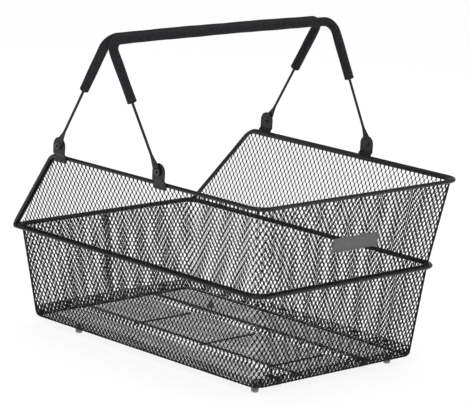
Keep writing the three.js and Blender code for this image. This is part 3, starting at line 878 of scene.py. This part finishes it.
def lug_reach(half, down):
    """A function of the angle for a round-topped plate: its reach is the half width above the
    eye, and below it the nearer of the straight side and the straight foot."""
    def reach(angle):
        to_side = half / (np.abs(np.cos(angle)) + 1e-9)
        to_foot = down / np.clip(-np.sin(angle), 1e-9, 1)
        return np.where(np.sin(angle) >= 0, half, np.minimum(to_side, to_foot))
    return reach


for handle, pivot in pivots.items():
    end = "front" if pivot.x < 0 else "rear"
    for side, sign in (("left", 1), ("right", -1)):
        low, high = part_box(f"handle_lug_{end}_{side}")
        foot_y = min(abs(low.y), abs(high.y)) + lug_thickness / 2
        outline = lug_reach((high.x - low.x) / 2, pivot.z - low.z)
        points, quads = eyed_plate(outline, lug_thickness, rim_high.z - pivot.z, lug_jog)
        points = points * [1, sign, 1] + [pivot.x, sign * foot_y, pivot.z]
        node = f"handle_lug_{end}_{side}"
        lug = add_piece(f"rim_lug_{end}_{side}", points, quads, "basket", steel_coat, [node])

# ---- Hollow rivets ----
# A plated hollow rivet is rolled over at both ends, holds the flattened end of the handle wire
# against the lug, and is the pin on which the handle swings.
rivet_plate = finish_material(
    "rivet_plating",
    colour=(0.05, 0.05, 0.053),
    worn=(0.13, 0.13, 0.137),
    blotches=400,
    grains=5000,
    wear=0.8,
    roughness=(0.25, 0.4),
    depth=0.03 * MM,
    specular=0.5,
    metallic=0.9,
)
rivet_bore = 3.2 * MM
rivet_head = 9.2 * MM
rivet_tail = 8 * MM
roll_height = 1.2 * MM
rivet_sides = 32


def rolled_end(start, top, radius):
    """Half a ring of the rivet's section, from the bore over the rolled end to its outer edge:
    the cosine of a half turn spans the metal, and the sine its height from "start" to "top"."""
    roll = np.linspace(0, math.pi, 9)
    middle = (radius + rivet_bore / 2) / 2
    across = middle - (radius - middle) * np.cos(roll)
    return np.stack([across, start + (top - start) * np.sin(roll)], axis=-1)


for handle, pivot in pivots.items():
    end = "front" if pivot.x < 0 else "rear"
    for side, sign in (("left", 1), ("right", -1)):
        low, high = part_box(f"handle_rivet_{end}_{side}")
        inner = min(abs(low.y), abs(high.y))
        outer = max(abs(low.y), abs(high.y))
        tail = rolled_end(inner + roll_height, inner, rivet_tail / 2)
        head = rolled_end(outer - roll_height, outer, rivet_head / 2)
        shank = [[rivet_shank / 2, inner + roll_height], [rivet_shank / 2, outer - roll_height]]
        ring = np.concatenate([tail, shank, head[::-1]])
        angle = np.arange(rivet_sides) / rivet_sides * 2 * np.pi
        x = np.cos(angle)[:, None] * ring[:, 0]
        z = np.sin(angle)[:, None] * ring[:, 0]
        points = np.stack([x + pivot.x, sign * (ring[:, 1] + 0 * x), z + pivot.z], axis=-1)
        quads = ring_quads(rivet_sides, len(ring), True)
        node = f"handle_rivet_{end}_{side}"
        rivet = add_piece(f"hollow_rivet_{end}_{side}", points, quads, "basket", rivet_plate, [node])

# ---- Handle wires ----
# Each handle is one 3.4 mm wire bent into a wide U. Its two ends are hammered flat into blades
# with an eye, which the rivets hold outside the lugs.
handle_coat = finish_material(
    "handle_wire_coat",
    colour=(0.012, 0.012, 0.014),
    worn=(0.03, 0.03, 0.033),
    blotches=120,
    grains=2500,
    wear=0.6,
    roughness=(0.28, 0.42),
    depth=0.05 * MM,
)
grip_radius = 6.3 * MM
handle_wire_radius = 1.7 * MM
handle_bend = 16 * MM
bar_rise = 1 * MM
blade_half = 5.25 * MM
blade_thickness = 1.6 * MM
blade_top = 24 * MM
blade_flat = 2.8 * blade_half  # the blade is fully flat up to here
blade_shoulder = 1.35 * blade_half
blade_end_round = 0.2 * MM
neck_start = 3.9 * MM
splays = {"front": 0.0, "rear": 10 * MM}
leg_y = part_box("handle_lug_front_left")[1].y + slot_gap + blade_thickness / 2


def handle_line(start, splay, leg_length):
    """A handle's middle line as (across, up) in its own plane: up the leaning leg from "start",
    round the corner, and half of the slightly raised bar, mirrored to the other side."""
    lean = math.atan2(splay, leg_length)
    turn = math.pi / 2 + lean
    reach = handle_bend * math.tan(turn / 2)
    tangent_up = leg_length - reach * math.cos(lean)
    up = np.linspace(start, tangent_up, 40)
    leg = np.stack([leg_y + splay * up / leg_length, up], axis=-1)
    angle = np.linspace(-lean, math.pi / 2, 16)[1:]
    centre = leg_y + splay - reach
    corner = handle_bend * np.stack([np.cos(angle), np.sin(angle)], axis=-1)
    corner = corner + [centre, leg_length - handle_bend]
    from_middle = np.linspace(1, 0, 30)[1:]
    bar_up = leg_length + bar_rise * (1 - from_middle**2)
    bar = np.stack([centre * from_middle, bar_up], axis=-1)
    half = np.concatenate([leg, corner, bar])
    return np.concatenate([half, half[-2::-1] * [-1, 1]])


handle_frames = {}
for handle, pivot in pivots.items():
    end = "front" if pivot.x < 0 else "rear"
    low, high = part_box(f"foam_grip_{end}")
    bar_x = high.x - grip_radius if end == "front" else low.x + grip_radius
    bar_z = high.z - grip_radius
    upward_lean = Vector((bar_x - pivot.x, 0, bar_z - pivot.z))
    leg_length = upward_lean.length - bar_rise
    up = np.array(upward_lean.normalized())
    plane = np.array([up[2], 0, -up[0]])
    handle_frames[end] = (handle, np.array(pivot), up, plane, leg_length)


def in_space(line, pivot, up):
    """A handle's line placed in space: across is Y, and up is the handle's own direction."""
    return pivot + line[:, :1] * np.array([0, 1, 0]) + line[:, 1:] * up


def blade_reach(angle):
    """The blade's reach from the eye by angle: a half circle below, and above it the nearer of
    the straight sides and the shoulder that goes over into the neck."""
    to_side = blade_half / (np.abs(np.cos(angle)) + 1e-9)
    to_shoulder = blade_shoulder / (np.abs(np.sin(angle)) + 1e-9)
    return np.where(np.sin(angle) < 0, blade_half, np.minimum(to_side, to_shoulder))


for end, (handle, pivot, up, plane, leg_length) in handle_frames.items():
    line = handle_line(neck_start, splays[end], leg_length)
    path = in_space(line, pivot, up)
    along_leg = line[:, 1]
    narrowing = np.clip((blade_top - along_leg) / (blade_top - blade_half), 0, 1)
    narrowing = narrowing * narrowing * (3 - 2 * narrowing)
    flat = np.clip((blade_top - along_leg) / (blade_top - blade_flat), 0, 1)
    flat = flat * flat * (3 - 2 * flat)
    half_width = handle_wire_radius + (blade_half - handle_wire_radius) * narrowing
    half_depth = handle_wire_radius + (blade_thickness / 2 - handle_wire_radius) * flat
    power = 2 + 5 * flat
    stations = zip(half_width, half_depth, power)
    section = np.stack([superellipse(wide, deep, square, 20) for wide, deep, square in stations])
    points, quads = swept(path, plane, section, rounding=blade_end_round)
    wire = add_piece(f"bent_wire_{end}", points, quads, handle, handle_coat, [f"handle_wire_{end}"])
    for side, sign in (("left", 1), ("right", -1)):
        points, quads = eyed_plate(blade_reach, blade_thickness)
        flat_points = pivot + points[..., :1] * plane + points[..., 2:] * up
        flat_points = flat_points + (points[..., 1:2] + sign * leg_y) * np.array([0, 1, 0])
        eye = add_piece(f"wire_eye_{end}_{side}", flat_points, quads, handle, handle_coat)

# ---- Foam grips ----
# A sleeve of closed-cell foam is pushed over each handle before it is bent. It follows the two
# corners, its skin ripples a little along its length, and its cut ends are slightly rounded.
grip_foam = finish_material(
    "grip_foam",
    colour=(0.005, 0.005, 0.0065),
    worn=(0.03, 0.0295, 0.034),
    blotches=320,
    grains=900,
    wear=1.0,
    roughness=(0.7, 0.95),
    depth=0.9 * MM,
)
grip_start = 90 * MM
grip_setback = 0.6 * MM
grip_end_dome = 0.9 * MM
grip_slack = 0.26 * MM
for end, (handle, pivot, up, plane, leg_length) in handle_frames.items():
    line = handle_line(grip_start + grip_setback, splays[end], leg_length)
    path = in_space(line, pivot, up)
    run = np.append(0, np.cumsum(np.linalg.norm(np.diff(path, axis=0), axis=1)))
    long_ripple = 0.16 * MM * np.sin(run / (23 * MM))
    short_ripple = 0.1 * MM * np.sin(run / (7.1 * MM) + 1.3)
    radius = grip_radius - grip_slack + (long_ripple + short_ripple)
    section = superellipse(1, 1, 2, 24) * radius[:, None, None]
    points, quads = swept(path, plane, section, rounding=grip_end_dome)
    grip = add_piece(f"foam_sleeve_{end}", points, quads, handle, grip_foam, [f"foam_grip_{end}"])

# ---- Badge plate ----
# A blank plate of grey moulded plastic with rounded corners and a narrow raised border. It is
# clipped to the middle of the rear wall and leans outward with it.
badge_plastic = finish_material(
    "badge_plastic",
    colour=(0.12, 0.12, 0.124),
    worn=(0.16, 0.16, 0.165),
    blotches=90,
    grains=1600,
    wear=0.5,
    roughness=(0.42, 0.55),
    depth=0.05 * MM,
)
badge_depth = 1.5 * MM
badge_corner = 2 * MM
badge_least_corner = 0.3 * MM
badge_sides = 96
border_insets = np.array([0.5, 0.15, 0, 0, 0.15, 0.45, 1.3, 1.6, 1.75]) * MM  # back edge to face
border_depths = np.array([0, 0, 0.15, 1.3, 1.45, 1.5, 1.5, 1.25, 1.0]) * MM
low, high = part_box("rear_badge_plate")
lean = math.atan2(wall_rears[2] - wall_rears[1], wall_levels[2] - wall_levels[1])
badge_up = np.array([math.sin(lean), 0, math.cos(lean)])
badge_out = np.array([math.cos(lean), 0, -math.sin(lean)])
badge_middle = np.array((low + high) / 2)
badge_half_width = (high.y - low.y) / 2
badge_half_height = ((high.z - low.z) - badge_depth * math.sin(lean)) / 2 / math.cos(lean)
rings = []
for inset, depth in zip(border_insets, border_depths):
    corner = max(badge_corner - inset, badge_least_corner)
    plan = rounded_loop(
        np.arange(badge_sides) / badge_sides,
        inset - badge_half_width,
        badge_half_width - inset,
        badge_half_height - inset,
        corner,
        corner,
    )[0]
    rings.append(np.append(plan, np.full((badge_sides, 1), depth - badge_depth / 2), axis=1))
nearly_closed = [0.001, 0.001, 1]
rings = np.stack([rings[0] * nearly_closed, *rings, rings[-1] * nearly_closed])
points = badge_middle + rings @ np.array([[0, 1, 0], badge_up, badge_out])
quads = ring_quads(len(rings), badge_sides, False)
badge = add_piece(
    "badge_blank", points, quads, "basket", badge_plastic, ["rear_badge_plate"], smooth=False
)
